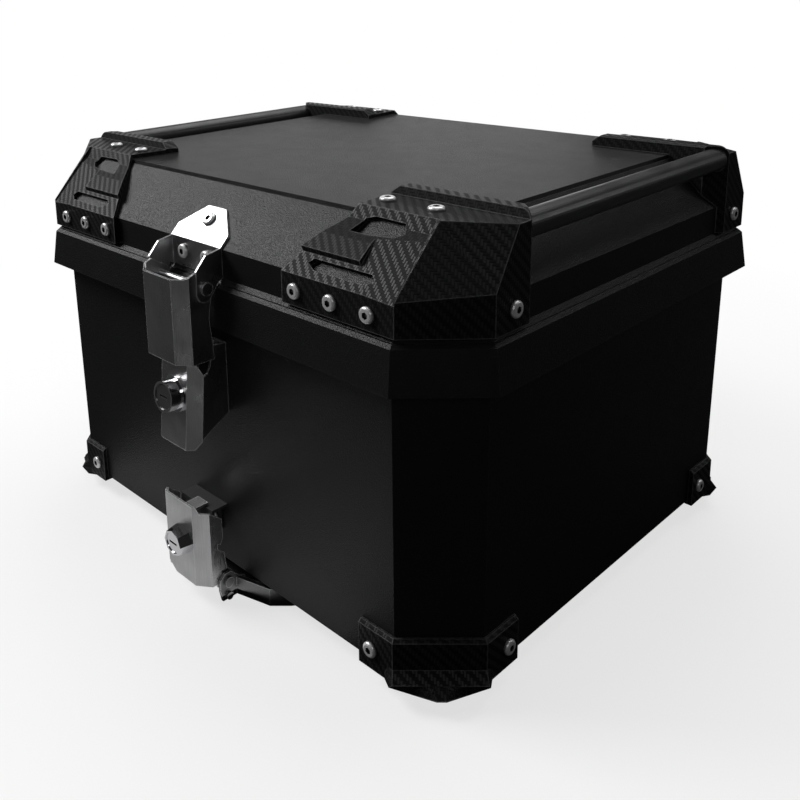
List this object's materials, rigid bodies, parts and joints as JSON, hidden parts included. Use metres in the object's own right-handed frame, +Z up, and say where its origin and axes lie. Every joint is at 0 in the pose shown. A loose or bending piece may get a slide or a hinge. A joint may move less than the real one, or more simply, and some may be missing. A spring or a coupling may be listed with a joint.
{
  "type": "motorcycle top case",
  "caption": "Hard motorcycle top case with hinged lid, side grab rails, corner guards, keyed front latch and quick-release base plate.",
  "frame": {"origin": "underside of the base plate at the middle of its slotted bolt pattern, under the centre of the case", "axes": "+Z up out of the rack, -Y towards the latch side, X across the case"},
  "size_m": [0.43, 0.4138, 0.283],
  "materials": {
    "shell_plastic": "fine satin grain",
    "guard_weave": "satin carbon-look twill",
    "rail_black": "satin",
    "black_steel": "satin",
    "rubber": "matt",
    "lock_chrome": "polished",
    "lock_face_black": "satin",
    "fastener_steel": "bright",
    "stainless": "brushed"
  },
  "bodies": {
    "case": {"base_catch": "black_steel", "base_catch_nuts": "fastener_steel", "base_catch_screws": "fastener_steel", "base_lever_pin": "stainless", "base_pads": "rubber", "base_plate": "stainless", "base_plate_studs": "fastener_steel", "body_shell": "shell_plastic", "bottom_guard_front_left": "guard_weave", "bottom_guard_front_right": "guard_weave", "bottom_guard_nuts": "fastener_steel", "bottom_guard_rear_left": "guard_weave", "bottom_guard_rear_right": "guard_weave", "bottom_guard_screws": "fastener_steel", "floor_hooks": "black_steel", "floor_mat": "rubber", "hinge_leaves_tub": "black_steel", "hinge_nuts_tub": "fastener_steel", "hinge_screws_tub": "fastener_steel", "lock_barrel": "lock_chrome", "lock_barrel_nut": "fastener_steel", "lock_bracket": "stainless", "lock_rivets": "fastener_steel"},
    "lid": {"lid_shell": "shell_plastic", "lid_seal": "rubber", "lid_guard_front_left": "guard_weave", "lid_guard_front_right": "guard_weave", "lid_guard_rear_left": "guard_weave", "lid_guard_rear_right": "guard_weave", "lid_guard_screws": "fastener_steel", "lid_guard_nuts": "fastener_steel", "rail_left": "rail_black", "rail_right": "rail_black", "lid_bracket": "stainless", "lid_bracket_screws": "fastener_steel", "lid_bracket_nuts": "fastener_steel", "hasp_pin": "stainless", "hinge_leaves_lid": "black_steel", "hinge_pins": "black_steel", "hinge_screws_lid": "fastener_steel", "hinge_nuts_lid": "fastener_steel"},
    "hasp": {"hasp": "stainless", "hasp_keeper": "stainless"},
    "lock_plug": {"lock_plug": "lock_face_black", "lock_cam": "stainless"},
    "lock_bolt": {"lock_bolt": "stainless"},
    "base_lever": {"base_lever": "stainless", "base_lock_barrel": "lock_chrome", "base_lock_nut": "fastener_steel"},
    "base_lock_plug": {"base_lock_plug": "lock_chrome", "base_lock_cam": "stainless"}
  },
  "joints": [
    {"name": "lid_open", "type": "hinge", "parent": "case", "child": "lid", "pos_m": [0, 0.1946, 0.1865], "axis": [-1, 0, 0], "range_deg": [0, 95]},
    {"name": "hasp_swing", "type": "hinge", "parent": "lid", "child": "hasp", "pos_m": [0.004, -0.1925, 0.2183], "axis": [-1, 0, 0], "range_deg": [0, 90]},
    {"name": "lock_turn", "type": "hinge", "parent": "case", "child": "lock_plug", "pos_m": [0.0055, -0.2036, 0.145], "axis": [0, 0.9964, -0.0845], "range_deg": [0, 90]},
    {"name": "bolt_slide", "type": "slide", "parent": "case", "child": "lock_bolt", "axis": [1, 0, 0], "range_m": [0, 0.0085]},
    {"name": "base_lever_open", "type": "hinge", "parent": "case", "child": "base_lever", "pos_m": [0.004, -0.188, 0.0127], "axis": [1, 0, 0], "range_deg": [0, 42]},
    {"name": "base_lock_turn", "type": "hinge", "parent": "base_lever", "child": "base_lock_plug", "pos_m": [0.008, -0.206, 0.0435], "axis": [0, 1, 0], "range_deg": [0, 90]}
  ],
  "couplings": [
    {"joint": "bolt_slide", "follows": "lock_turn", "m_per_rad": 0.0054019}
  ]
}
